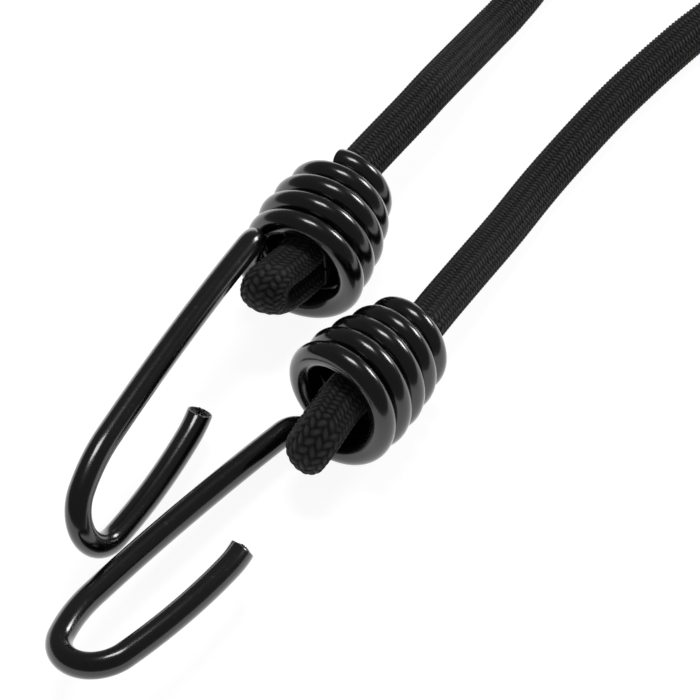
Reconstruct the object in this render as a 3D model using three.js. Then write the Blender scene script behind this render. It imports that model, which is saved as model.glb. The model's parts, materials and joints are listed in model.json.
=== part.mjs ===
// A bungee cord lying folded in half: a braided elastic cord with a coated wire hook wound onto each end.
// Millimetres and degrees, +Z up, the ground at z = 0.
import * as THREE from 'three';

// Hook wire
const STEEL_DIAMETER = 4.0;
const COAT_THICKNESS = 0.35;
const COAT_CLEARANCE = 0.05;
const STEEL_SIDES = 6;
const COAT_SIDES = 8;

// Conical coil that grips the cord, narrow end first
const NECK_CLEARANCE = 0.4;
const MOUTH_CLEARANCE = 0.45;
const TURN_GAP = 0.42;
const COIL_TURNS = 4.8;
const COIL_FLARE_SHARE = 0.6;
const COIL_FLARE_POWER = 1.5;
const COIL_STEPS = 78;

// Hook bent from the end of the coil
const LEAD_LENGTH = 0.8;
const LEAD_BEND_RADIUS = 4.3;
const LEAD_BEND_STEPS = 4;
const HOOK_PLANE_ANGLE = 60;
const STEM_SPLAY = -7;
const STEM_SKEW = -2;
const STEM_LENGTH = 58.5;
const STEM_RADIUS = 500;
const STEM_STEPS = 5;
const SADDLE_RADIUS = 7.2;
const SADDLE_ANGLE = 174;
const SADDLE_STEPS = 11;
const POINT_LENGTH = 24;
const POINT_RADIUS = 250;
const POINT_STEPS = 3;
const TIP_LENGTH = 6.2;
const TIP_RADIUS = 34;
const TIP_STEPS = 3;

// Elastic cord: a rubber core in a braided sheath
const CORD_DIAMETER = 8;
const SHEATH_THICKNESS = 0.8;
const CORE_CLEARANCE = 0.25;
const CORD_SIDES = 10;
const CORE_SIDES = 8;
const CORD_STEPS = 64;
const CORD_DIVISIONS = 1000;
const CORD_LIFT = 0.15;
const FACE_GAP = 0.3;

// Folded end of the cord, squeezed in the coil's neck and flattened where its two legs lie together.
// Beyond the clip it leans aside, more and more towards its bend.
const STUB_LENGTH = 7.6;
const NECK_SQUEEZE = 0.35;
const NECK_START = 4;
const NECK_END = 4.7;
const LEG_SPREAD = 0.2;
const LEG_FLATTENING = 1;
const LEG_GAP = 0.5;
const LEG_START = -11;
const LEG_STEPS = 6;
const FOLD_STEPS = 10;
const LEAN_START = -3;
const LEAN_LENGTH = 8;
const LEAN_POWER = 1.2;
const TAIL_END = -10.5;

// Crimped band round both legs of the fold
const CLIP_THICKNESS = 0.45;
const CLIP_CLEARANCE = 0.2;
const CLIP_BACK = -9.5;
const CLIP_WIDTH = 6.5;
const CLIP_SEAM = 0.8;
const CLIP_CURVE_STEPS = 8;

// Where each end lies: centre of the coil's mouth, then the direction that the mouth faces.
// In cord diameters: how far out of the mouth the fold bends, and its lean along y and z at the lean's length.
const ENDS = {
  a: {
    mouth: [7.25, 29.55, 12],
    heading: -113.7,
    tilt: -1.7,
    hookRoll: 87.5,
    foldRoll: 2,
    foldStart: 0.7,
    foldLean: [-0.19, 0.24],
  },
  b: {
    mouth: [13.9, -3, 13],
    heading: -126.4,
    tilt: 6,
    hookRoll: 160,
    foldRoll: -25,
    foldStart: 0.71,
    foldLean: [0.17, -0.125],
  },
};

// Free cord from hook a to hook b, between the two stubs
const CORD_LEVEL = (CORD_DIAMETER / 2) * Math.cos(Math.PI / CORD_SIDES) + CORD_LIFT;
const CORD_ROUTE = [
  [29, 73.8, 9],
  [37, 89.5, 4.5],
  [48, 105, CORD_LEVEL],
  [54, 115.5, CORD_LEVEL],
  [57.5, 129, CORD_LEVEL],
  [58.5, 146, CORD_LEVEL],
  [58.5, 170, CORD_LEVEL],
  [60, 190, CORD_LEVEL],
  [67.5, 206.5, CORD_LEVEL],
  [81.5, 213.5, CORD_LEVEL],
  [95.5, 206.5, CORD_LEVEL],
  [103, 190, CORD_LEVEL],
  [104.5, 170, CORD_LEVEL],
  [104.5, 149.5, CORD_LEVEL],
  [101, 130, CORD_LEVEL],
  [93, 112.5, CORD_LEVEL],
  [81.5, 96.5, CORD_LEVEL],
  [68.5, 81, CORD_LEVEL],
  [57, 65, CORD_LEVEL],
  [47.5, 50, CORD_LEVEL],
  [41.2, 38.7, 5],
  [37.7, 30.3, 7.6],
];

// Sizes that follow from the ones above: the coil fits the wire, the squeezed neck and the clip
const STEEL_RADIUS = STEEL_DIAMETER / 2;
const WIRE_RADIUS = STEEL_RADIUS + COAT_THICKNESS;
const CORD_RADIUS = CORD_DIAMETER / 2;
const CORE_RADIUS = CORD_RADIUS - SHEATH_THICKNESS - CORE_CLEARANCE;
const NECK_RADIUS = CORD_RADIUS - NECK_SQUEEZE;
const LEG_HALF_WIDTH = CORD_RADIUS + LEG_SPREAD;
const LEG_HALF_HEIGHT = CORD_RADIUS - LEG_FLATTENING;
const LEG_OFFSET = LEG_HALF_HEIGHT + LEG_GAP / 2;
const CLIP_REACH = LEG_OFFSET + LEG_HALF_HEIGHT + CLIP_CLEARANCE + CLIP_THICKNESS;
const COIL_NARROW_RADIUS = NECK_RADIUS + NECK_CLEARANCE + WIRE_RADIUS;
const COIL_MOUTH_RADIUS = CLIP_REACH + MOUTH_CLEARANCE + WIRE_RADIUS;
const COIL_LENGTH = (2 * WIRE_RADIUS + TURN_GAP) * COIL_TURNS;
const STUB_END = -COIL_LENGTH - STUB_LENGTH;
const TURN = 2 * Math.PI;
const radians = THREE.MathUtils.degToRad;

// Outlines

// Corners of a regular polygon with a flat side across each end of its x axis
function corners(sides, halfWidth, halfHeight = halfWidth) {
  return Array.from({ length: sides }, (_, i) => {
    const angle = ((i + 0.5) * TURN) / sides;
    return new THREE.Vector2(halfWidth * Math.cos(angle), halfHeight * Math.sin(angle));
  });
}

function roundShape(sides, radius, hole) {
  const shape = new THREE.Shape(corners(sides, radius));
  if (hole) shape.holes.push(new THREE.Path(corners(hole.sides, hole.radius)));
  return shape;
}

// Hook

function coilRadius(share) {
  const rise = 1 - (1 - Math.min(share / COIL_FLARE_SHARE, 1)) ** COIL_FLARE_POWER;
  return COIL_NARROW_RADIUS + (COIL_MOUTH_RADIUS - COIL_NARROW_RADIUS) * rise;
}

function coilPoint(share) {
  const angle = TURN * COIL_TURNS * (share - 1);
  const radius = coilRadius(share);
  return new THREE.Vector3(COIL_LENGTH * (share - 1), radius * Math.sin(angle), radius * Math.cos(angle));
}

// Points and directions down the middle of the wire, from the coil's narrow end to the tip
class WirePath extends THREE.Curve {
  constructor() {
    super();
    this.points = [];
    this.tangents = [];
    this.addCoil();
    const start = this.addHook();
    this.addFrames(start);
  }

  add(point, tangent) {
    this.points.push(point);
    this.tangents.push(tangent);
  }

  addCoil() {
    const step = 1e-4;
    for (let i = 0; i <= COIL_STEPS; i += 1) {
      const share = i / COIL_STEPS;
      const ahead = coilPoint(Math.min(share + step, 1));
      const behind = coilPoint(Math.max(share - step, 0));
      this.add(coilPoint(share), ahead.sub(behind).normalize());
    }
  }

  // One bend of the wire, turning from its direction towards the inward side
  addBend(inward, radius, angle, steps) {
    const from = this.points.at(-1).clone();
    const along = this.tangents.at(-1).clone();
    const turned = (angleNow) => along.clone().multiplyScalar(Math.cos(angleNow))
      .addScaledVector(inward, Math.sin(angleNow));
    for (let i = 1; i <= steps; i += 1) {
      const now = (angle * i) / steps;
      const point = from.clone()
        .addScaledVector(inward, radius * (1 - Math.cos(now)))
        .addScaledVector(along, radius * Math.sin(now));
      this.add(point, turned(now));
    }
    return turned(angle + Math.PI / 2);
  }

  // Lead, stem, saddle, point and tip. Returns the stations of the stem and the saddle's inward side.
  addHook() {
    const across = radians(HOOK_PLANE_ANGLE);
    const inPlane = new THREE.Vector3(0, -Math.sin(across), -Math.cos(across));
    const offPlane = new THREE.Vector3(0, Math.cos(across), -Math.sin(across));
    const stem = new THREE.Vector3(1, 0, 0)
      .addScaledVector(inPlane, Math.tan(radians(STEM_SPLAY)))
      .addScaledVector(offPlane, Math.tan(radians(STEM_SKEW)))
      .normalize();
    const lead = this.tangents.at(-1).clone();
    this.add(this.points.at(-1).clone().addScaledVector(lead, LEAD_LENGTH), lead.clone());
    const towardsStem = stem.clone().addScaledVector(lead, -stem.dot(lead)).normalize();
    this.addBend(towardsStem, LEAD_BEND_RADIUS, lead.angleTo(stem), LEAD_BEND_STEPS);
    const first = this.points.length - 1;
    let inward = inPlane.addScaledVector(stem, -stem.dot(inPlane)).normalize();
    inward = this.addBend(inward, STEM_RADIUS, STEM_LENGTH / STEM_RADIUS, STEM_STEPS);
    const last = this.points.length - 1;
    const saddle = inward.clone();
    inward = this.addBend(inward, SADDLE_RADIUS, radians(SADDLE_ANGLE), SADDLE_STEPS);
    inward = this.addBend(inward, POINT_RADIUS, POINT_LENGTH / POINT_RADIUS, POINT_STEPS);
    this.addBend(inward, TIP_RADIUS, TIP_LENGTH / TIP_RADIUS, TIP_STEPS);
    return { first, last, saddle };
  }

  // Normals carried along the wire, eased round the stem until a flat side faces into the saddle
  addFrames({ first, last, saddle }) {
    const start = new THREE.Vector3(0, -this.points[0].y, -this.points[0].z);
    const carried = [start.projectOnPlane(this.tangents[0]).normalize()];
    const turn = new THREE.Quaternion();
    for (let i = 1; i < this.points.length; i += 1) {
      turn.setFromUnitVectors(this.tangents[i - 1], this.tangents[i]);
      carried.push(carried[i - 1].clone().applyQuaternion(turn));
    }
    const side = new THREE.Vector3().crossVectors(this.tangents[last], carried[last]);
    const whole = Math.atan2(side.dot(saddle), carried[last].dot(saddle));
    const flat = TURN / COAT_SIDES;
    const ease = whole - flat * Math.round(whole / flat);
    this.normals = carried.map((normal, i) => {
      const share = THREE.MathUtils.clamp((i - first) / (last - first), 0, 1);
      return normal.clone().applyAxisAngle(this.tangents[i], ease * share);
    });
    this.binormals = this.normals.map((normal, i) => this.tangents[i].clone().cross(normal));
  }

  getSpacedPoints() {
    return this.points;
  }

  computeFrenetFrames() {
    return { tangents: this.tangents, normals: this.normals, binormals: this.binormals };
  }

  // Least clear space between turns that are at least half a turn apart along the wire
  leastGap() {
    const apart = Math.round(COIL_STEPS / COIL_TURNS / 2);
    let least = Infinity;
    for (let i = 0; i < this.points.length; i += 1) {
      for (let j = i + apart; j < this.points.length; j += 1) {
        least = Math.min(least, this.points[i].distanceTo(this.points[j]));
      }
    }
    return least - 2 * WIRE_RADIUS;
  }
}

const wirePath = new WirePath();
console.log(`least gap between the wire's turns: ${wirePath.leastGap().toFixed(2)} mm`);

function wireGeometry(shape) {
  return new THREE.ExtrudeGeometry(shape, {
    extrudePath: wirePath,
    steps: wirePath.points.length - 1,
    bevelEnabled: false,
  });
}

// Cord

// Centre, angle and half sizes of the cord's section at each station of the folded end, before it leans
function foldStations(foldStart) {
  const stations = [];
  const add = (x, z, angle, width, height) => stations.push({ x, z, angle, width, height });
  add(STUB_END, 0, 0, CORD_RADIUS, CORD_RADIUS);
  add(-COIL_LENGTH - NECK_START - WIRE_RADIUS / 2, 0, 0, CORD_RADIUS, CORD_RADIUS);
  add(-COIL_LENGTH - WIRE_RADIUS, 0, 0, NECK_RADIUS, NECK_RADIUS);
  const neckEnd = -COIL_LENGTH + NECK_END;
  for (let i = 0; i <= LEG_STEPS; i += 1) {
    const share = i / LEG_STEPS;
    const ease = share * share * (3 - 2 * share);
    const slope = (6 * share * (1 - share) * LEG_OFFSET) / (LEG_START - neckEnd);
    add(
      THREE.MathUtils.lerp(neckEnd, LEG_START, share),
      LEG_OFFSET * ease,
      Math.atan(slope),
      THREE.MathUtils.lerp(NECK_RADIUS, LEG_HALF_WIDTH, ease),
      THREE.MathUtils.lerp(NECK_RADIUS, LEG_HALF_HEIGHT, ease),
    );
  }
  add(LEAN_START, LEG_OFFSET, 0, LEG_HALF_WIDTH, LEG_HALF_HEIGHT);
  for (let i = 0; i <= FOLD_STEPS; i += 1) {
    const angle = (Math.PI * i) / FOLD_STEPS;
    const x = CORD_DIAMETER * foldStart + LEG_OFFSET * Math.sin(angle);
    add(x, LEG_OFFSET * Math.cos(angle), -angle, LEG_HALF_WIDTH, LEG_HALF_HEIGHT);
  }
  for (const x of [LEAN_START, TAIL_END]) {
    add(x, -LEG_OFFSET, -Math.PI, LEG_HALF_WIDTH, LEG_HALF_HEIGHT);
  }
  return stations;
}

// Rings of points round each station, drawn in from the cord's surface by a depth
function foldRings({ foldStart, foldLean }, sides, depth) {
  const leaned = (x, y, z) => {
    const lean = CORD_DIAMETER * (Math.max(x - LEAN_START, 0) / LEAN_LENGTH) ** LEAN_POWER;
    return new THREE.Vector3(x, y + foldLean[0] * lean, z + foldLean[1] * lean);
  };
  return foldStations(foldStart).map(({ x, z, angle, width, height }) => {
    const outline = corners(sides, height - depth, width - depth);
    return outline.map((corner) => leaned(
      x - corner.x * Math.sin(angle),
      corner.y,
      z + corner.x * Math.cos(angle),
    ));
  });
}

// A closed surface through rings of points. Its flat ends are filled as a plain rim with a plain hole.
function loft(rings, innerRings) {
  const sides = rings[0].length;
  const points = rings.flat();
  const index = [];
  const quad = (a, b, c, d) => index.push(a, b, c, a, c, d);
  const wall = (base, count, around, outward) => {
    for (let ring = 0; ring < count - 1; ring += 1) {
      for (let i = 0; i < around; i += 1) {
        const next = (i + 1) % around;
        const here = base + ring * around;
        const ahead = here + around;
        if (outward) quad(here + i, ahead + i, ahead + next, here + next);
        else quad(here + i, here + next, ahead + next, ahead + i);
      }
    }
  };
  wall(0, rings.length, sides, true);
  const [rim, hole] = [2, 1];
  const outline = corners(sides, rim);
  const holes = [];
  const labels = [Array.from({ length: sides }, (_, i) => i)];
  let innerBase = 0;
  if (innerRings) {
    const innerSides = innerRings[0].length;
    innerBase = points.length;
    points.push(...innerRings.flat());
    wall(innerBase, innerRings.length, innerSides, false);
    holes.push(corners(innerSides, hole));
    labels.push(Array.from({ length: innerSides }, (_, i) => innerBase + i));
  }
  const first = labels.flat();
  const shift = (label) => label + (label < innerBase || !innerRings
    ? (rings.length - 1) * sides
    : (innerRings.length - 1) * innerRings[0].length);
  for (const [a, b, c] of THREE.ShapeUtils.triangulateShape(outline, holes)) {
    index.push(first[a], first[b], first[c]);
    index.push(shift(first[c]), shift(first[b]), shift(first[a]));
  }
  const geometry = new THREE.BufferGeometry().setFromPoints(points);
  geometry.setIndex(index);
  geometry.computeVertexNormals();
  return geometry;
}

function endGroup(end, roll) {
  const group = new THREE.Group();
  group.position.fromArray(end.mouth);
  group.rotation.set(radians(roll), radians(-end.tilt), radians(end.heading), 'ZYX');
  group.updateMatrixWorld();
  return group;
}

// Where the free cord starts at one end, and a point further along that keeps it straight there
function cordStart(end) {
  const group = endGroup(end, 0);
  const at = (beyond) => group.localToWorld(new THREE.Vector3(STUB_END - beyond, 0, 0));
  return [at(FACE_GAP), at(FACE_GAP + CORD_RADIUS)];
}

function cordPath() {
  const route = CORD_ROUTE.map((point) => new THREE.Vector3(...point));
  const points = [...cordStart(ENDS.a), ...route, ...cordStart(ENDS.b).reverse()];
  const path = new THREE.CatmullRomCurve3(points, false, 'centripetal');
  path.arcLengthDivisions = CORD_DIVISIONS;
  return path;
}

function cordGeometry(shape) {
  return new THREE.ExtrudeGeometry(shape, {
    extrudePath: cordPath(),
    steps: CORD_STEPS,
    bevelEnabled: false,
  });
}

// Clip

function clipShape() {
  const innerWidth = LEG_HALF_WIDTH + CLIP_CLEARANCE;
  const innerHeight = LEG_HALF_HEIGHT + CLIP_CLEARANCE;
  const outerWidth = innerWidth + CLIP_THICKNESS;
  const outerHeight = innerHeight + CLIP_THICKNESS;
  const lip = CLIP_SEAM / 2;
  const shape = new THREE.Shape();
  shape.moveTo(outerWidth, lip);
  shape.lineTo(outerWidth, LEG_OFFSET);
  shape.absellipse(0, LEG_OFFSET, outerWidth, outerHeight, 0, Math.PI);
  shape.lineTo(-outerWidth, -LEG_OFFSET);
  shape.absellipse(0, -LEG_OFFSET, outerWidth, outerHeight, Math.PI, TURN);
  shape.lineTo(outerWidth, -lip);
  shape.lineTo(innerWidth, -lip);
  shape.lineTo(innerWidth, -LEG_OFFSET);
  shape.absellipse(0, -LEG_OFFSET, innerWidth, innerHeight, TURN, Math.PI, true);
  shape.lineTo(-innerWidth, LEG_OFFSET);
  shape.absellipse(0, LEG_OFFSET, innerWidth, innerHeight, Math.PI, 0, true);
  shape.lineTo(innerWidth, lip);
  return shape;
}

// The band's outline stands square to the coil's axis, and its width runs along it
function clipGeometry() {
  const geometry = new THREE.ExtrudeGeometry(clipShape(), {
    depth: CLIP_WIDTH,
    bevelEnabled: false,
    curveSegments: CLIP_CURVE_STEPS,
  });
  const axes = [new THREE.Vector3(0, 1, 0), new THREE.Vector3(0, 0, 1), new THREE.Vector3(1, 0, 0)];
  geometry.applyMatrix4(new THREE.Matrix4().makeBasis(...axes));
  geometry.translate(CLIP_BACK, 0, 0);
  return geometry;
}

// Assembly

const FINISHES = {
  steel: { color: 0x8a8c90, roughness: 0.4, metalness: 1 },
  coating: { color: 0x0b0b0c, roughness: 0.22, metalness: 0 },
  braid: { color: 0x121214, roughness: 0.75, metalness: 0 },
  rubber: { color: 0xb9a27c, roughness: 0.85, metalness: 0 },
};

function piece(name, geometry, finish) {
  const mesh = new THREE.Mesh(geometry, new THREE.MeshStandardMaterial(FINISHES[finish]));
  mesh.name = name;
  return mesh;
}

function hook(label, end) {
  const group = endGroup(end, end.hookRoll);
  const bore = { sides: STEEL_SIDES, radius: STEEL_RADIUS + COAT_CLEARANCE };
  const wire = roundShape(STEEL_SIDES, STEEL_RADIUS);
  const coating = roundShape(COAT_SIDES, WIRE_RADIUS, bore);
  group.add(piece(`hook_${label}_wire`, wireGeometry(wire), 'steel'));
  group.add(piece(`hook_${label}_coating`, wireGeometry(coating), 'coating'));
  return group;
}

function cordEnd(label, end) {
  const group = endGroup(end, end.foldRoll);
  const inside = foldRings(end, CORE_SIDES, SHEATH_THICKNESS);
  const core = foldRings(end, CORE_SIDES, SHEATH_THICKNESS + CORE_CLEARANCE);
  group.add(piece(`end_${label}_sheath`, loft(foldRings(end, CORD_SIDES, 0), inside), 'braid'));
  group.add(piece(`end_${label}_core`, loft(core), 'rubber'));
  group.add(piece(`end_${label}_clip`, clipGeometry(), 'steel'));
  return group;
}

function freeCord() {
  const group = new THREE.Group();
  const bore = { sides: CORE_SIDES, radius: CORD_RADIUS - SHEATH_THICKNESS };
  group.add(piece('cord_sheath', cordGeometry(roundShape(CORD_SIDES, CORD_RADIUS, bore)), 'braid'));
  group.add(piece('cord_core', cordGeometry(roundShape(CORE_SIDES, CORE_RADIUS)), 'rubber'));
  return group;
}

const bungee = new THREE.Group();
bungee.add(freeCord());
for (const [label, end] of Object.entries(ENDS)) {
  bungee.add(cordEnd(label, end), hook(label, end));
}

export default bungee;
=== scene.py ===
"""The looks of a bungee cord: a braided elastic cord folded into two coated wire hooks.

Metres and degrees, in the frame of the solids, with their main sizes. As in the photo, the coils' turns lie
closer, the hooks bend otherwise, by up to about 4 mm, and the cord leaves the coils straighter than there.
"""

import json
import math

import bmesh
import bpy
import numpy as np
from mathutils import Matrix, Vector


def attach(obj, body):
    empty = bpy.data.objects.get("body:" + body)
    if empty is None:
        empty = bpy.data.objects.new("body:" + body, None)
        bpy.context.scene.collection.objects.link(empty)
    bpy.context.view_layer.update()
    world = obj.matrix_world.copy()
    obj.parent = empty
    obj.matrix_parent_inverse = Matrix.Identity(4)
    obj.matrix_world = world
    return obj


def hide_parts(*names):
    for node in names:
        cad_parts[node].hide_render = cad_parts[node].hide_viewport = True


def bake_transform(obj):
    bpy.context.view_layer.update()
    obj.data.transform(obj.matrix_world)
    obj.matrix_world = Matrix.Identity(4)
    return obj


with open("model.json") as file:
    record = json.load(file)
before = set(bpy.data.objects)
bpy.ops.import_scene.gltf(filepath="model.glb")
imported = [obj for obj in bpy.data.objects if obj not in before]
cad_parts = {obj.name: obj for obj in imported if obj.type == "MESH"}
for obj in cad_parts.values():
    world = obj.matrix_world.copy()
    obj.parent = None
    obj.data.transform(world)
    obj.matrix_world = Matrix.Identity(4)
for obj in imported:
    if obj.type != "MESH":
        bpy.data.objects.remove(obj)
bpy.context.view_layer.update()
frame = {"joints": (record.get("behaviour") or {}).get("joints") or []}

# Hook wire
STEEL_RADIUS = 0.002
COAT_THICKNESS = 0.00035
WIRE_RADIUS = STEEL_RADIUS + COAT_THICKNESS
WIRE_SIDES = 36
WIRE_STEP = 0.0006
BORE_GAP = 0.00002
RIM_STEPS = 6

# Conical coil, narrow end first. Its turns all but touch, where those of the solid keep a clear gap.
COIL_NARROW_RADIUS = 0.0064
COIL_MOUTH_RADIUS = 0.0097
COIL_PITCH = 0.00485
COIL_TURNS = 4.8
COIL_LENGTH = COIL_PITCH * COIL_TURNS
COIL_FLARE_POWER = 1.5

# Hook bent from the end of the coil: a stem that curves into the saddle, and a point that curves to its tip
LEAD_BEND_RADIUS = 0.0044
STEM_LENGTH = 0.0505
STEM_RADIUS = 0.5
ENTRY_RADIUS = 0.03
ENTRY_ANGLE = 21
SADDLE_RADIUS = 0.0069
SADDLE_ANGLE = 148.6
POINT_LENGTH = 0.0262
POINT_RADIUS = 0.11
TIP_LENGTH = 0.0053
TIP_RADIUS = 0.022

# Cut ends of the wire: how far back from the tip the slant reaches, and the rings that the rough face waves on
CUT_REACH = 0.0062
CUT_RINGS = (0.0014, 0.0008, 0.0003)
CUT_ROUGHNESS = 0.00025
CUT_WAVE = 2.4
CUT_SHIFT = 40

# Elastic cord
CORD_RADIUS = 0.004
CORE_DEPTH = 0.00105
CORE_SIDES = 24
CORE_STEP = 0.0012
CORD_STEP = 0.0001
CORD_LIFT = 0.0001
CORD_LEVEL = CORD_RADIUS + CORD_LIFT

# Folded end of the cord, held in the coil. Beyond the clip it leans aside, more and more towards its bend.
STUB_LENGTH = 0.0038
STUB_END = -COIL_LENGTH - STUB_LENGTH
CORD_LEAD = 0.0008
NECK_LEAD = 0.0022
NECK_START = -COIL_LENGTH - WIRE_RADIUS / 2 - NECK_LEAD
NECK_RADIUS = 0.00365
NECK_JOIN = -COIL_LENGTH + 0.0012
NECK_END = -COIL_LENGTH + 0.0047
NECK_STOPS = (NECK_JOIN, -COIL_LENGTH - WIRE_RADIUS, NECK_START, STUB_END)
LEG_HALF_WIDTH = 0.0042
LEG_HALF_HEIGHT = 0.003
LEG_OFFSET = 0.00325
LEG_START = -0.011
TAIL_END = -0.0105
LEG_STEPS = 30
FOLD_STEPS = 40
LEAN_START = -0.003
LEAN_LENGTH = 0.008
LEAN_POWER = 1.2

# Braid: yarns of each lean, and how far apart they follow each other along the cord. They stand out more on
# the free cord than on the folds: relief is their depth, crown highlight is the height at which the painted
# highlights on their tops begin and how light those are, with painted shade in the hollows between them, and
# detail is the count of steps for each yarn round the cord and each row along it.
BRAID_YARNS = 16
SLACK_SPACING = 0.00086
PULLED_SPACING = 0.00098
PULLED_REACH = 0.012
BRAID_PROUD = 0.00008
CORD_BRAID = {"relief": 0.00065, "crown_highlight": (0.6, 1), "detail": (3, 2)}
FOLD_BRAID = {"relief": 0.0003, "crown_highlight": (0.4, 0.7), "detail": (4, 4)}

# Crimped band round both legs of the fold
CLIP_THICKNESS = 0.00045
CLIP_CLEARANCE = 0.0002
CLIP_BACK = -0.0095
CLIP_WIDTH = 0.0065
CLIP_SEAM = 0.0008
CLIP_EDGE = 0.00012
CLIP_SHARP = 1
CLIP_CURVE_STEPS = 40
CLIP_AROUND = 120
CLIP_ACROSS = 6

# Each end: how its hook is turned about the coil, how far along the coil widens, how the stem leaves it, how
# the fold is turned, bends and leans, and how steeply the hook's tip is cut and which way the cut faces
ENDS = {
    "a": {
        "hook_roll": 87.5,
        "coil_flare": 0.6,
        "coil_extra": 16,
        "lead_length": 0.0022,
        "hook_plane": 65.5,
        "stem_splay": -6.7,
        "stem_skew": -2.8,
        "fold_roll": 2,
        "fold_start": 0.0056,
        "fold_lean": (0, -0.00152, 0.00192),
        "cut_slope": 0.65,
        "cut_facing": (0, -0.64, 0.77),
    },
    "b": {
        "hook_roll": 160,
        "coil_flare": 0.75,
        "coil_extra": 0,
        "lead_length": 0.0003,
        "hook_plane": 55.5,
        "stem_splay": -6.5,
        "stem_skew": -0.5,
        "fold_roll": -25,
        "fold_start": 0.00568,
        "fold_lean": (0, 0.00136, -0.001),
        "cut_slope": 0.75,
        "cut_facing": (0.2, -0.64, 0.77),
    },
}

# Free cord from hook a to hook b, between the two stubs
CORD_ROUTE = [
    (0.0296, 0.0724, 0.0115),
    (0.0323, 0.0768, 0.0111),
    (0.0441, 0.0989, 0.0048),
    (0.048, 0.105, CORD_LEVEL),
    (0.054, 0.1155, CORD_LEVEL),
    (0.0575, 0.129, CORD_LEVEL),
    (0.0585, 0.146, CORD_LEVEL),
    (0.0585, 0.17, CORD_LEVEL),
    (0.06, 0.19, CORD_LEVEL),
    (0.0675, 0.2065, CORD_LEVEL),
    (0.0815, 0.2135, CORD_LEVEL),
    (0.0955, 0.2065, CORD_LEVEL),
    (0.103, 0.19, CORD_LEVEL),
    (0.1045, 0.17, CORD_LEVEL),
    (0.1045, 0.1495, CORD_LEVEL),
    (0.1035, 0.128, CORD_LEVEL),
    (0.0945, 0.1105, CORD_LEVEL),
    (0.0815, 0.0965, CORD_LEVEL),
    (0.0685, 0.081, CORD_LEVEL),
    (0.057, 0.065, CORD_LEVEL),
    (0.0522, 0.0578, 0.0041),
    (0.0457, 0.0463, 0.0055),
    (0.0387, 0.0341, 0.0076),
    (0.0332, 0.0245, 0.0092),
]

# Camera, floor and lights: where each softbox stands, its size and how bright it is
CAMERA_PLACE = (0.0169, -0.4348, 0.5437)
CAMERA_TARGET = (0.0169, 0.0216, 0)
CAMERA_LENS = 198.7
FLOOR_SIZE = 6
FLOOR_GREY = 0.8
FLOOR_GLOW = 0.92
FLOOR_SHADE = 0.28
WORLD_GREY = 0.13
SOFTBOXES = {
    "right": {"azimuth": 38, "elevation": 22, "distance": 1.2, "size": (0.3, 0.3), "watts": 4.2},
    "back": {"azimuth": 88, "elevation": 74, "distance": 1.2, "size": (0.42, 0.28), "watts": 4.2},
}

TURN = 2 * math.pi
WELD_DISTANCE = 1e-7
TANGENT_STEP = 1e-4


# Lines


def unit(rows):
    return rows / np.linalg.norm(rows, axis=-1, keepdims=True)


class Line:
    """Points down the middle of a wire or cord, with the directions across it at each point."""

    def __init__(self, points, across):
        self.points = np.array(points)
        self.tangents = unit(np.gradient(self.points, axis=0))
        normal, normals = np.array(across), []
        for tangent in self.tangents:
            normal = unit(normal - tangent * (normal @ tangent))
            normals.append(normal)
        self.normals = np.array(normals)

    @property
    def sides(self):
        return np.cross(self.tangents, self.normals)

    @property
    def lengths(self):
        steps = np.linalg.norm(np.diff(self.points, axis=0), axis=1)
        return np.concatenate([[0], np.cumsum(steps)])

    def turn(self, angles):
        """Turns the directions across the line about it, by an angle at each point."""
        angles = np.array(angles)[:, None]
        self.normals = self.normals * np.cos(angles) + self.sides * np.sin(angles)

    def at(self, places, measure):
        """The line again, with its points at these places of a measure along it."""
        made = Line.__new__(Line)
        for name in ("points", "tangents", "normals"):
            columns = getattr(self, name).T
            rows = np.stack([np.interp(places, measure, column) for column in columns], axis=1)
            setattr(made, name, rows if name == "points" else unit(rows))
        return made

    def rings(self, sides, width, height):
        """Rings of points round the line, and the directions out of them. Each ring ends where it starts."""
        angle = np.linspace(0, TURN, sides + 1)[None, :, None]
        width, height = np.reshape(width, (-1, 1, 1)), np.reshape(height, (-1, 1, 1))
        normals, across = self.normals[:, None], self.sides[:, None]
        rings = self.points[:, None] + across * np.cos(angle) * width + normals * np.sin(angle) * height
        return rings, unit(across * np.cos(angle) * height + normals * np.sin(angle) * width)


def smooth_route(stops, steps=24):
    """Points along a smooth curve through the stops."""
    stops = np.array(stops)
    p = np.concatenate([[2 * stops[0] - stops[1]], stops, [2 * stops[-1] - stops[-2]]])
    gap = np.linalg.norm(np.diff(p, axis=0), axis=1)[:, None] ** 0.5
    step = np.diff(p, axis=0) / gap
    slope = step[:-1] - (p[2:] - p[:-2]) / (gap[:-1] + gap[1:]) + step[1:]
    share = np.linspace(0, 1, steps, endpoint=False)[:, None, None]
    width = gap[1:-1]
    curve = (
        p[1:-2] * (2 * share**3 - 3 * share**2 + 1)
        + slope[:-1] * width * (share**3 - 2 * share**2 + share)
        + p[2:-1] * (3 * share**2 - 2 * share**3)
        + slope[1:] * width * (share**3 - share**2)
    )
    return np.concatenate([curve.transpose(1, 0, 2).reshape(-1, 3), stops[-1:]])


def end_matrix(label, roll):
    """Where one end lies: at the middle of its coil's mouth, with x out of the mouth."""
    joint = next(j for j in frame["joints"] if j["name"] == f"swivel_{label}")
    along = Vector(joint["axis"]).normalized()
    across = Vector((0, 0, 1)).cross(along).normalized()
    turn = Matrix((along, across, along.cross(across))).transposed().to_4x4()
    return Matrix.Translation(joint["pos_m"]) @ turn @ Matrix.Rotation(math.radians(roll), 4, "X")


def placed(matrix, rows):
    found = np.array(matrix)
    return np.array(rows) @ found[:3, :3].T + found[:3, 3]


def eased(share):
    share = np.clip(share, 0, 1)
    return share * share * (3 - 2 * share)


# Meshes


def finished(name, bm):
    """An object made of this mesh."""
    mesh = bpy.data.meshes.new(name)
    bm.to_mesh(mesh)
    bm.free()
    made = bpy.data.objects.new(name, mesh)
    bpy.context.scene.collection.objects.link(made)
    return made


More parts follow.
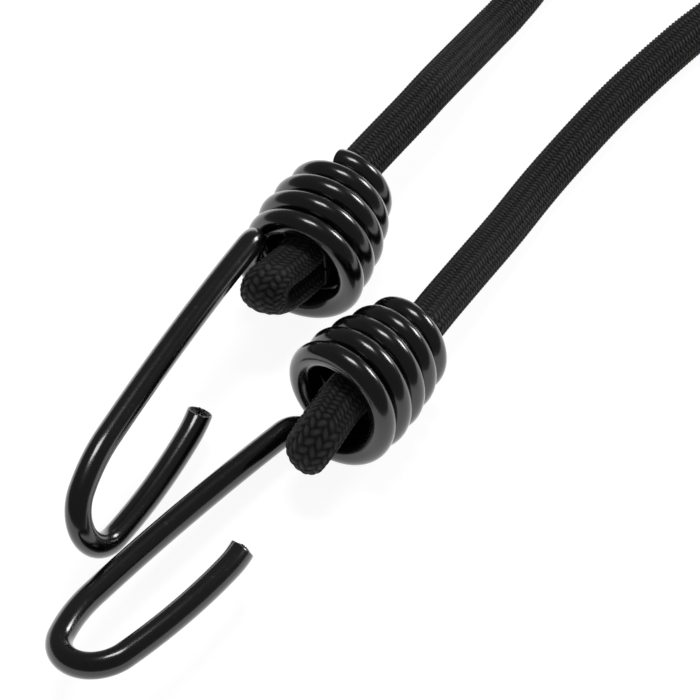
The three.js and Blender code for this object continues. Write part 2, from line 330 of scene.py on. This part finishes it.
def rolled(rings, pattern=None, weld_ends=False):
    """A tube through rings of points, rolled from a flat grid with its seam welded."""
    count, around = rings.shape[0] - 1, rings.shape[1] - 1
    bm = bmesh.new()
    bm.loops.layers.uv.new("UVMap")
    bmesh.ops.create_grid(bm, x_segments=around, y_segments=count, size=0.5, calc_uvs=True)
    for vert, place in zip(bm.verts, rings.reshape(-1, 3).tolist()):
        vert.co = place
    for name, values in (pattern or {}).items():
        layer = bm.verts.layers.float.new(name)
        for vert, value in zip(bm.verts, values.reshape(-1).tolist()):
            vert[layer] = value
    bm.verts.ensure_lookup_table()
    row = around + 1
    seam = [vert for i, vert in enumerate(bm.verts) if i % row in (0, around)]
    if weld_ends:
        seam += bm.verts[1:around] + bm.verts[count * row + 1 : count * row + around]
    for face in bm.faces:
        face.smooth = True
    bmesh.ops.remove_doubles(bm, verts=seam, dist=WELD_DISTANCE)
    return bm


def closed(bm):
    """Fills the open ends of a tube with flat faces, which it returns."""
    rim = [edge for edge in bm.edges if edge.is_boundary]
    caps = bmesh.ops.holes_fill(bm, edges=rim, sides=0)["faces"]
    for face in caps:
        face.smooth = False
    bmesh.ops.recalc_face_normals(bm, faces=bm.faces)
    return caps


# Hooks


def coil_point(share, flare):
    angle = TURN * COIL_TURNS * (share - 1)
    rise = 1 - (1 - min(share / flare, 1)) ** COIL_FLARE_POWER
    radius = COIL_NARROW_RADIUS + (COIL_MOUTH_RADIUS - COIL_NARROW_RADIUS) * rise
    return Vector((COIL_LENGTH * (share - 1), radius * math.sin(angle), radius * math.cos(angle)))


def bend(line, along, inward, radius, angle):
    """Carries a line on round a bend. Returns its direction and its inward side at the end."""
    start = line[-1]
    steps = math.ceil(radius * angle / WIRE_STEP)
    for i in range(1, steps + 1):
        now = angle * i / steps
        line.append(start + inward * radius * (1 - math.cos(now)) + along * radius * math.sin(now))
    turned = along * math.cos(angle) + inward * math.sin(angle)
    return turned, inward * math.cos(angle) - along * math.sin(angle)


def wire_points(end):
    """The middle of a hook's wire in its own frame, from the coil's narrow end to the tip."""
    steps = math.ceil(TURN * COIL_TURNS * COIL_MOUTH_RADIUS / WIRE_STEP)
    last = 1 + end["coil_extra"] / 360 / COIL_TURNS
    line = [coil_point(last * i / steps, end["coil_flare"]) for i in range(steps + 1)]
    lead = (line[-1] - coil_point(last - TANGENT_STEP, end["coil_flare"])).normalized()
    plane = math.radians(end["hook_plane"])
    in_plane = Vector((0, -math.sin(plane), -math.cos(plane)))
    off_plane = Vector((0, math.cos(plane), -math.sin(plane)))
    splay, skew = math.tan(math.radians(end["stem_splay"])), math.tan(math.radians(end["stem_skew"]))
    stem = (Vector((1, 0, 0)) + in_plane * splay + off_plane * skew).normalized()
    line.append(line[-1] + lead * end["lead_length"])
    towards = (stem - lead * stem.dot(lead)).normalized()
    bend(line, lead, towards, LEAD_BEND_RADIUS, lead.angle(stem))
    inward = (in_plane - stem * stem.dot(in_plane)).normalized()
    along, inward = bend(line, stem, inward, STEM_RADIUS, STEM_LENGTH / STEM_RADIUS)
    along, inward = bend(line, along, inward, ENTRY_RADIUS, math.radians(ENTRY_ANGLE))
    along, inward = bend(line, along, inward, SADDLE_RADIUS, math.radians(SADDLE_ANGLE))
    along, inward = bend(line, along, inward, POINT_RADIUS, POINT_LENGTH / POINT_RADIUS)
    bend(line, along, inward, TIP_RADIUS, TIP_LENGTH / TIP_RADIUS)
    return line


def slanted(rings, line, to_tip, end):
    """Leans the rings near the tip, as where pliers cut the wire on a slant."""
    facing = np.array(end["cut_facing"])
    side = unit(facing - line.tangents * (line.tangents @ facing)[:, None])
    near = np.clip(1 - to_tip / CUT_REACH, 0, 1) ** 2
    across = np.einsum("ijk,ik->ij", rings - line.points[:, None], side)
    return rings - line.tangents[:, None] * (end["cut_slope"] * near[:, None] * across)[..., None]


def roughened(bm, caps):
    """Breaks up the flat cut faces of a wire."""
    for inset in (STEEL_RADIUS - CUT_RINGS[0], *-np.diff(CUT_RINGS)):
        bmesh.ops.inset_individual(bm, faces=caps, thickness=inset)
        for face in caps:
            for i, vert in enumerate(face.verts):
                wave = math.sin(CUT_WAVE * i + CUT_SHIFT * inset / STEEL_RADIUS)
                vert.co += face.normal * (CUT_ROUGHNESS * wave)
    bmesh.ops.poke(bm, faces=caps)


def hook(label):
    """The steel wire of a hook and the coating dipped over it."""
    end = ENDS[label]
    points = placed(end_matrix(label, end["hook_roll"]), wire_points(end))
    wire = Line(points, across=(0.0, 0.0, 1.0))
    lengths = wire.lengths
    total = lengths[-1]
    even = np.linspace(0, total, round(total / WIRE_STEP))

    line = wire.at(even, lengths)
    rings, _ = line.rings(WIRE_SIDES, STEEL_RADIUS - BORE_GAP, STEEL_RADIUS - BORE_GAP)
    steel = rolled(slanted(rings, line, total - even, end))
    roughened(steel, closed(steel))

    rim = COAT_THICKNESS / 2
    half_turn = np.linspace(0, math.pi, RIM_STEPS + 1)[1:]
    outer = np.linspace(rim, total - rim, round(total / WIRE_STEP))
    tip = total - rim + rim * np.sin(half_turn[:-1])
    places = np.concatenate([outer, tip, outer[::-1], rim - rim * np.sin(half_turn)])
    turned = np.cos(half_turn)
    radius = STEEL_RADIUS + rim + rim * np.concatenate([0 * outer + 1, turned[:-1], 0 * outer - 1, -turned])
    line = wire.at(places, lengths)
    rings, _ = line.rings(WIRE_SIDES, radius, radius)
    coat = rolled(slanted(rings, line, total - places, end), weld_ends=True)
    bmesh.ops.recalc_face_normals(coat, faces=coat.faces)
    return finished(f"hook_{label}_steel", steel), finished(f"hook_{label}_coat", coat)


# Cord


def fold_points(fold_start):
    """The middle of a folded end in its own frame, from its cut tail to its stub, and its half sizes."""
    straight = np.linspace(0, 1, LEG_STEPS)
    share = straight[1:]
    half_turn = np.linspace(-math.pi / 2, math.pi / 2, FOLD_STEPS)[1:]
    level, rise, neck = np.ones(len(share)), eased(share), np.zeros(len(NECK_STOPS))
    x = np.concatenate([
        TAIL_END + (fold_start - TAIL_END) * straight,
        fold_start + LEG_OFFSET * np.cos(half_turn),
        fold_start + (LEG_START - fold_start) * share,
        LEG_START + (NECK_END - LEG_START) * share,
        NECK_STOPS,
    ])
    z = LEG_OFFSET * np.concatenate([0 * straight - 1, np.sin(half_turn), level, 1 - rise, neck])
    legs = len(straight) + len(half_turn) + len(share)
    narrow = np.concatenate([np.zeros(legs), rise, neck + 1])
    radius = np.where(x <= NECK_START, CORD_RADIUS, NECK_RADIUS)
    width = LEG_HALF_WIDTH + (radius - LEG_HALF_WIDTH) * narrow
    height = LEG_HALF_HEIGHT + (radius - LEG_HALF_HEIGHT) * narrow
    return np.stack([x, 0 * x, z], axis=1), width, height


def leaned(label, rows):
    """Leans points of a folded end aside, outside its coil."""
    end = ENDS[label]
    matrix = end_matrix(label, end["fold_roll"])
    local = placed(matrix.inverted(), rows)
    share = (np.maximum(local[..., :1] - LEAN_START, 0) / LEAN_LENGTH) ** LEAN_POWER
    return placed(matrix, local + share * np.array(end["fold_lean"]))


class Cord:
    """The whole cord, from its tail in hook a to that in hook b, with its braid's rows counted along it."""

    def __init__(self):
        matrix = {label: end_matrix(label, ENDS[label]["fold_roll"]) for label in ENDS}
        ends, width, height = {}, {}, {}
        for label in ENDS:
            fold, width[label], height[label] = fold_points(ENDS[label]["fold_start"])
            ends[label] = placed(matrix[label], fold)
        leads = {label: placed(matrix[label], [(STUB_END - CORD_LEAD, 0, 0)]) for label in ENDS}
        stops = np.concatenate([ends["a"][-1:], leads["a"], CORD_ROUTE, leads["b"], ends["b"][-1:]])
        route = smooth_route(stops)[1:-1]
        rough = Line(np.concatenate([ends["a"], route, ends["b"][::-1]]), across=matrix["a"].col[2][:3])
        lengths = rough.lengths
        stub, join = len(fold) - 1, len(fold) - len(NECK_STOPS)
        self.stub = {"a": lengths[stub], "b": lengths[-1 - stub]}
        self.join = {"a": lengths[join], "b": lengths[-1 - join]}
        self.places = np.linspace(0, lengths[-1], round(lengths[-1] / CORD_STEP))
        free = np.full(len(route), CORD_RADIUS)
        self.width = np.interp(self.places, lengths, np.concatenate([width["a"], free, width["b"][::-1]]))
        self.height = np.interp(self.places, lengths, np.concatenate([height["a"], free, height["b"][::-1]]))
        self.line = rough.at(self.places, lengths)
        self.turn_to(np.array(matrix["b"].col[2][:3]))
        self.rows = self.count_rows()

    def turn_to(self, flat):
        """Spreads a slight twist over the free cord, so that its last fold lies as its hook does."""
        line = self.line
        leftover = math.atan2(line.sides[-1] @ flat, line.normals[-1] @ flat)
        leftover = (leftover + math.pi / 2) % math.pi - math.pi / 2
        share = (self.places - self.stub["a"]) / (self.stub["b"] - self.stub["a"])
        line.turn(leftover * eased(share))

    def count_rows(self):
        """Rows of the braid before each place. The braid is pulled long in the coils and slack between."""
        pulled = 1 - eased((self.places - self.join["a"] + PULLED_REACH) / PULLED_REACH)
        pulled = pulled + eased((self.places - self.join["b"]) / PULLED_REACH)
        spacing = SLACK_SPACING + (PULLED_SPACING - SLACK_SPACING) * pulled
        return np.concatenate([[0], np.cumsum(2 * np.diff(self.places) / spacing[1:])])

    def row_at(self, place):
        return round(float(np.interp(place, self.places, self.rows)))

    def braid(self, first, last, relief, crown_highlight, detail, fold=None):
        """The sheath between two rows, its yarns two over and two under, and the points down its middle."""
        rows = np.linspace(first, last, (last - first) * detail[1] + 1)
        line = self.line.at(rows, self.rows)
        width = np.interp(rows, self.rows, self.width)
        height = np.interp(rows, self.rows, self.height)
        around = np.linspace(0, 2 * BRAID_YARNS, 2 * BRAID_YARNS * detail[0] + 1)
        rings, out = line.rings(len(around) - 1, width, height)
        level, lean = yarns(around[None], rows[:, None])
        rings = rings + out * (BRAID_PROUD - relief * (1 - level))[..., None]
        # Painted highlights on the yarns' tops, as light as the crown highlight says; the hollows stay painted
        # shade
        tops = eased((level - crown_highlight[0]) / (1 - crown_highlight[0])) * crown_highlight[1]
        bm = rolled(leaned(fold, rings) if fold else rings, {"crown_highlight": tops, "lean": lean})
        layer = bm.loops.layers.uv.active
        for face in bm.faces:
            for loop in face.loops:
                u, v = loop[layer].uv
                loop[layer].uv = (u * 2 * BRAID_YARNS, first + v * (last - first))
        closed(bm)
        return bm, line.points

    def rubber(self, first, last, fold=None):
        """The rubber strands inside the sheath between two rows."""
        start, end = np.interp([first, last], self.rows, self.places)
        places = np.linspace(start, end, round((end - start) / CORE_STEP))
        line = self.line.at(places, self.places)
        width = np.interp(places, self.places, self.width) - CORE_DEPTH
        height = np.interp(places, self.places, self.height) - CORE_DEPTH
        rings, _ = line.rings(CORE_SIDES, width, height)
        bm = rolled(leaned(fold, rings) if fold else rings)
        closed(bm)
        return bm


def yarns(around, along):
    """How high the braid is, up to 1, at these counts round it and along it, and how its top yarn leans."""
    left, right = (around - along) / 2, (around + along) / 2
    left_yarn, right_yarn = np.rint(left), np.rint(right)
    quarter = math.pi / 2
    left_height = 1 - 4 * (left - left_yarn) ** 2 + np.cos(quarter * (left_yarn + right - 0.5))
    right_height = 1 - 4 * (right - right_yarn) ** 2 + np.cos(quarter * (left + right_yarn - 2.5))
    return np.maximum(left_height, right_height) / 2, np.where(left_height > right_height, 1.0, 0.0)


def clip(label):
    """The band crimped round both legs of a fold, with a seam on one side."""
    half_turn = np.linspace(0, math.pi, CLIP_CURVE_STEPS)
    y = (LEG_HALF_WIDTH + CLIP_CLEARANCE) * np.cos(half_turn)
    z = (LEG_HALF_HEIGHT + CLIP_CLEARANCE) * np.sin(half_turn) + LEG_OFFSET
    lip = CLIP_SEAM / 2
    y, z = np.concatenate([y[:1], y, -y, y[:1]]), np.concatenate([[lip], z, -z, [-lip]])
    lengths = np.concatenate([[0], np.cumsum(np.hypot(np.diff(y), np.diff(z)))])
    places = np.linspace(0, lengths[-1], CLIP_AROUND + 1)
    y, z = np.interp(places, lengths, y), np.interp(places, lengths, z)
    x = CLIP_BACK + CLIP_WIDTH * np.linspace(0, 1, CLIP_ACROSS + 1)
    bm = bmesh.new()
    bmesh.ops.create_grid(bm, x_segments=CLIP_AROUND, y_segments=CLIP_ACROSS, size=0.5)
    matrix = end_matrix(label, ENDS[label]["fold_roll"])
    for i, vert in enumerate(bm.verts):
        row, column = divmod(i, CLIP_AROUND + 1)
        vert.co = matrix @ Vector((x[row], y[column], z[column]))
    bm.normal_update()
    bmesh.ops.solidify(bm, geom=bm.faces[:], thickness=CLIP_THICKNESS)
    bmesh.ops.recalc_face_normals(bm, faces=bm.faces)
    sharp = [edge for edge in bm.edges if edge.calc_face_angle(0) > CLIP_SHARP]
    bevel = {"offset": CLIP_EDGE, "offset_type": "OFFSET", "segments": 2, "profile": 0.5, "material": -1}
    bmesh.ops.bevel(bm, geom=sharp, affect="EDGES", **bevel)
    for face in bm.faces:
        face.smooth = True
    return finished(f"clip_{label}", bm)


# Finishes


class Value:
    """One output of a finish's nodes. Arithmetic on it adds Math nodes."""

    def __init__(self, finish, socket):
        self.finish = finish
        self.socket = socket

    def maths(self, operation, first, second):
        return self.finish.node("ShaderNodeMath", {"operation": operation}, {0: first, 1: second})

    def __add__(self, other):
        return self.maths("ADD", self, other)

    def __radd__(self, other):
        return self.maths("ADD", other, self)

    def __sub__(self, other):
        return self.maths("SUBTRACT", self, other)

    def __rsub__(self, other):
        return self.maths("SUBTRACT", other, self)

    def __mul__(self, other):
        return self.maths("MULTIPLY", self, other)

    def __rmul__(self, other):
        return self.maths("MULTIPLY", other, self)


class Finish:
    """A material and its nodes."""

    def __init__(self, name):
        self.material = bpy.data.materials.new(name)
        self.material.use_nodes = True
        self.tree = self.material.node_tree
        self.surface = self.tree.nodes["Principled BSDF"]

    def feed(self, socket, value):
        if isinstance(value, Value):
            self.tree.links.new(value.socket, socket)
        else:
            socket.default_value = value

    def node(self, kind, settings=None, sockets=None, output=0):
        made = self.tree.nodes.new(kind)
        for name, value in (settings or {}).items():
            setattr(made, name, value)
        for name, value in (sockets or {}).items():
            self.feed(made.inputs[name], value)
        return Value(self, made.outputs[output])

    def noise(self, scale, detail=3):
        place = self.node("ShaderNodeTexCoord", output="Object")
        return self.node("ShaderNodeTexNoise", {}, {"Vector": place, "Scale": scale, "Detail": detail})

    def step(self, value, low, high):
        """0 below low, 1 above high and eased between."""
        settings = {"interpolation_type": "SMOOTHSTEP"}
        return self.node("ShaderNodeMapRange", settings, {"Value": value, 1: low, 2: high})

    def mix(self, share, first, second):
        sockets = {0: share, 6: (*first, 1), 7: (*second, 1)}
        return self.node("ShaderNodeMix", {"data_type": "RGBA"}, sockets, output=2)

    def bump(self, height, depth):
        return self.node("ShaderNodeBump", {}, {"Height": height, "Distance": depth})

    def set(self, **sockets):
        for name, value in sockets.items():
            self.feed(self.surface.inputs[name.replace("_", " ").title().replace("Ior", "IOR")], value)
        return self.material


def braid_finish():
    """Fine black yarn with fuzzy painted highlights on its crowns and painted shade between, with the
    filaments of each yarn along it.
    """
    finish = Finish("braid")
    crown_highlight = finish.node("ShaderNodeAttribute", {"attribute_name": "crown_highlight"}, output="Fac")
    lean = finish.node("ShaderNodeAttribute", {"attribute_name": "lean"}, output="Fac")
    counts = finish.node("ShaderNodeUVMap", {"uv_map": "UVMap"})
    around = finish.node("ShaderNodeSeparateXYZ", {}, {0: counts}, output="X")
    along = finish.node("ShaderNodeSeparateXYZ", {}, {0: counts}, output="Y")
    across = around + along * (1 - lean * 2)
    strands = finish.node("ShaderNodeMath", {"operation": "SINE"}, {0: across * (math.pi * 7)})
    fuzz = finish.noise(4500)
    worn = finish.noise(160)
    # Share from painted shade in the hollows to fuzzy, patchy painted highlights on the crowns
    shade = crown_highlight * (0.25 + 0.9 * fuzz + 0.3 * worn) + strands * 0.05
    colour = finish.mix(shade, (0.002, 0.002, 0.0022), (0.094, 0.094, 0.095))
    normal = finish.bump(strands * 0.4 + fuzz * 0.6, 0.00005)
    shine = {"specular_ior_level": 0.3, "sheen_weight": 0.18, "sheen_roughness": 0.3}
    return finish.set(base_color=colour, roughness=0.72 - crown_highlight * 0.15, normal=normal, **shine)


def coat_finish():
    """Glossy black dipped plastic, a little uneven, with faint scuffs."""
    finish = Finish("coating")
    waves = finish.noise(260, 1)
    scuffs = finish.step(finish.noise(900, 4), 0.58, 0.75)
    colour = finish.mix(scuffs, (0.0024, 0.0024, 0.0026), (0.0055, 0.0055, 0.006))
    roughness = 0.2 + scuffs * 0.1 + waves * 0.05
    gloss = {"coat_weight": 0.75, "coat_roughness": 0.12}
    return finish.set(base_color=colour, roughness=roughness, normal=finish.bump(waves, 0.00003), **gloss)


def steel_finish():
    """Drawn steel wire, dark and rough where it is cut."""
    finish = Finish("steel")
    grain = finish.noise(2600, 4)
    colour = finish.mix(finish.step(grain, 0.4, 0.65), (0.012, 0.012, 0.013), (0.16, 0.155, 0.15))
    normal = finish.bump(grain, 0.0004)
    return finish.set(base_color=colour, roughness=0.3 + grain * 0.3, metallic=1.0, normal=normal)


def clip_finish():
    """Dull plated sheet steel, lightly scratched."""
    finish = Finish("clip")
    cloud = finish.noise(300, 4)
    scratches = finish.noise(1400, 3)
    colour = finish.mix(cloud, (0.06, 0.06, 0.062), (0.13, 0.13, 0.132))
    normal = finish.bump(scratches, 0.00003)
    return finish.set(base_color=colour, roughness=0.55 + scratches * 0.2, metallic=1.0, normal=normal)


def rubber_finish():
    """Matte natural rubber in thin strands."""
    finish = Finish("rubber")
    strands = finish.noise(2200, 2)
    colour = finish.mix(strands, (0.3, 0.22, 0.12), (0.52, 0.42, 0.28))
    return finish.set(base_color=colour, roughness=0.75 + strands * 0.2, normal=finish.bump(strands, 0.0002))


# Camera

scene = bpy.context.scene
scene.view_settings.view_transform = "Standard"
camera = bpy.data.objects.new("camera", bpy.data.cameras.new("camera"))
scene.collection.objects.link(camera)
camera.data.lens = CAMERA_LENS
camera.location = CAMERA_PLACE
camera.rotation_euler = (Vector(CAMERA_TARGET) - camera.location).to_track_quat("-Z", "Y").to_euler()
scene.camera = camera

# The cord, in four lengths: the free cord in two halves, and the two folded ends with their clips, which
# follow the ends

finishes = {
    "braid": braid_finish(),
    "rubber": rubber_finish(),
    "clip": clip_finish(),
    "steel": steel_finish(),
    "coating": coat_finish(),
}


def dressed(piece, slot, *nodes):
    piece.data.materials.append(finishes[slot])
    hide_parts(*nodes)
    return piece


cord = Cord()
middle = cord.row_at(cord.places[-1] / 2)
tail = {"a": 0, "b": math.floor(cord.rows[-1])}
for label in ENDS:
    neck = cord.row_at(cord.join[label])
    span = sorted([neck, middle])
    bm, path = cord.braid(*span, **CORD_BRAID)
    braid = dressed(finished(f"cord_braid_{label}", bm), "braid", "cord_sheath")
    rubber = dressed(finished(f"cord_rubber_{label}", cord.rubber(*span)), "rubber", "cord_core")
    path = [tuple(point) for point in (path if label == "a" else path[::-1]).tolist()]
    for piece in (braid, rubber):
        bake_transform(piece)
    span = sorted([neck, tail[label]])
    bm, _ = cord.braid(*span, **FOLD_BRAID, fold=label)
    braid = dressed(finished(f"fold_braid_{label}", bm), "braid", f"end_{label}_sheath")
    bm = cord.rubber(*span, fold=label)
    rubber = dressed(finished(f"fold_rubber_{label}", bm), "rubber", f"end_{label}_core")
    band = dressed(clip(label), "clip", f"end_{label}_clip")
    for piece in (braid, rubber, band):
        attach(piece, f"end_{label}")

# The hooks

for label in ENDS:
    steel, coat = hook(label)
    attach(dressed(steel, "steel", f"hook_{label}_wire"), f"hook_{label}")
    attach(dressed(coat, "coating", f"hook_{label}_coating"), f"hook_{label}")

# Floor and lights

bm = bmesh.new()
bmesh.ops.create_grid(bm, x_segments=1, y_segments=1, size=FLOOR_SIZE / 2)
floor = finished("floor", bm)
paper = Finish("paper")
paper.set(base_color=(FLOOR_GREY, FLOOR_GREY, FLOOR_GREY, 1), roughness=0.9, specular_ior_level=0.0)
seen = paper.node("ShaderNodeLightPath", output="Is Camera Ray")
mirrored = paper.node("ShaderNodeLightPath", output="Is Glossy Ray")
glow = paper.node("ShaderNodeEmission", {}, {"Color": (1, 1, 1, 1), "Strength": FLOOR_GLOW})
matt = paper.node("ShaderNodeBsdfDiffuse", {}, {"Color": (FLOOR_SHADE, FLOOR_SHADE, FLOOR_SHADE, 1)})
bright = paper.node("ShaderNodeAddShader", {}, {0: glow, 1: matt})
plain = Value(paper, paper.surface.outputs[0])
shown = paper.node("ShaderNodeMixShader", {}, {0: seen + mirrored, 1: plain, 2: bright})
paper.feed(paper.tree.nodes["Material Output"].inputs["Surface"], shown)
floor.data.materials.append(paper.material)

world = bpy.data.worlds.new("studio")
world.use_nodes = True
world_colour = world.node_tree.nodes["Background"].inputs["Color"]
world_colour.default_value = (WORLD_GREY, WORLD_GREY, WORLD_GREY, 1)
scene.world = world

for name, box in SOFTBOXES.items():
    lamp = bpy.data.lights.new(name, "AREA")
    lamp.shape = "RECTANGLE"
    lamp.size, lamp.size_y = box["size"]
    lamp.energy = box["watts"]
    azimuth, elevation = math.radians(box["azimuth"]), math.radians(box["elevation"])
    level = math.cos(elevation)
    towards = Vector((math.cos(azimuth) * level, math.sin(azimuth) * level, math.sin(elevation)))
    softbox = bpy.data.objects.new(name, lamp)
    softbox.location = towards * box["distance"]
    softbox.rotation_euler = towards.to_track_quat("Z", "Y").to_euler()
    scene.collection.objects.link(softbox)
